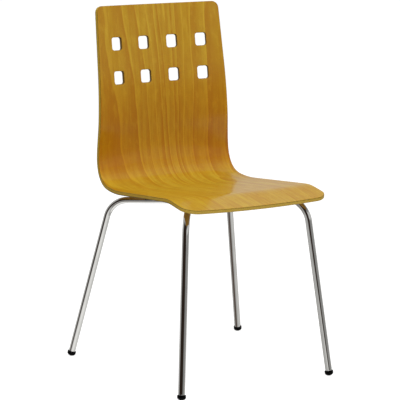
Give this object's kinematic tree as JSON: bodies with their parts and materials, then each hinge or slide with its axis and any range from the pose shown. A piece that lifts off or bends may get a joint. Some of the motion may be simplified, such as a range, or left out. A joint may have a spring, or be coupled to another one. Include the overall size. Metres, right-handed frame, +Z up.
{
  "type": "stacking chair",
  "caption": "Stacking chair: a one-piece bent plywood seat and back with square openings in the back, on two bent chromed tube frames with splayed legs and black glides.",
  "frame": {"origin": "point on the floor under the middle of the chair's bounding box", "axes": "+Z up, the chair faces -Y, +X to the right of someone looking along +Y"},
  "size_m": [0.5112, 0.5031, 0.8713],
  "materials": {
    "face_veneer": "clear gloss lacquer over straight-grained honey-coloured veneer",
    "ply_core": "lacquered plywood edge",
    "back_veneer": "clear gloss lacquer over straight-grained honey-coloured veneer",
    "chrome": "bright chrome plate",
    "bracket_steel": "black powder coat",
    "fasteners": "zinc plate",
    "black_plastic": "moulded black plastic",
    "black_rubber": "moulded black rubber"
  },
  "bodies": {
    "root": {"face_veneer": "face_veneer", "ply_core": "ply_core", "back_veneer": "back_veneer", "left_leg_tube": "chrome", "right_leg_tube": "chrome", "front_seat_bracket": "bracket_steel", "rear_seat_bracket": "bracket_steel", "bracket_welds": "bracket_steel", "front_spacer": "black_plastic", "rear_spacer": "black_plastic", "seat_screws": "fasteners", "lock_washers": "fasteners", "tee_nuts": "fasteners", "front_left_pad": "black_rubber", "front_right_pad": "black_rubber", "rear_left_pad": "black_rubber", "rear_right_pad": "black_rubber", "front_left_glide": "black_plastic", "front_right_glide": "black_plastic", "rear_left_glide": "black_plastic", "rear_right_glide": "black_plastic"}
  },
  "joints": []
}
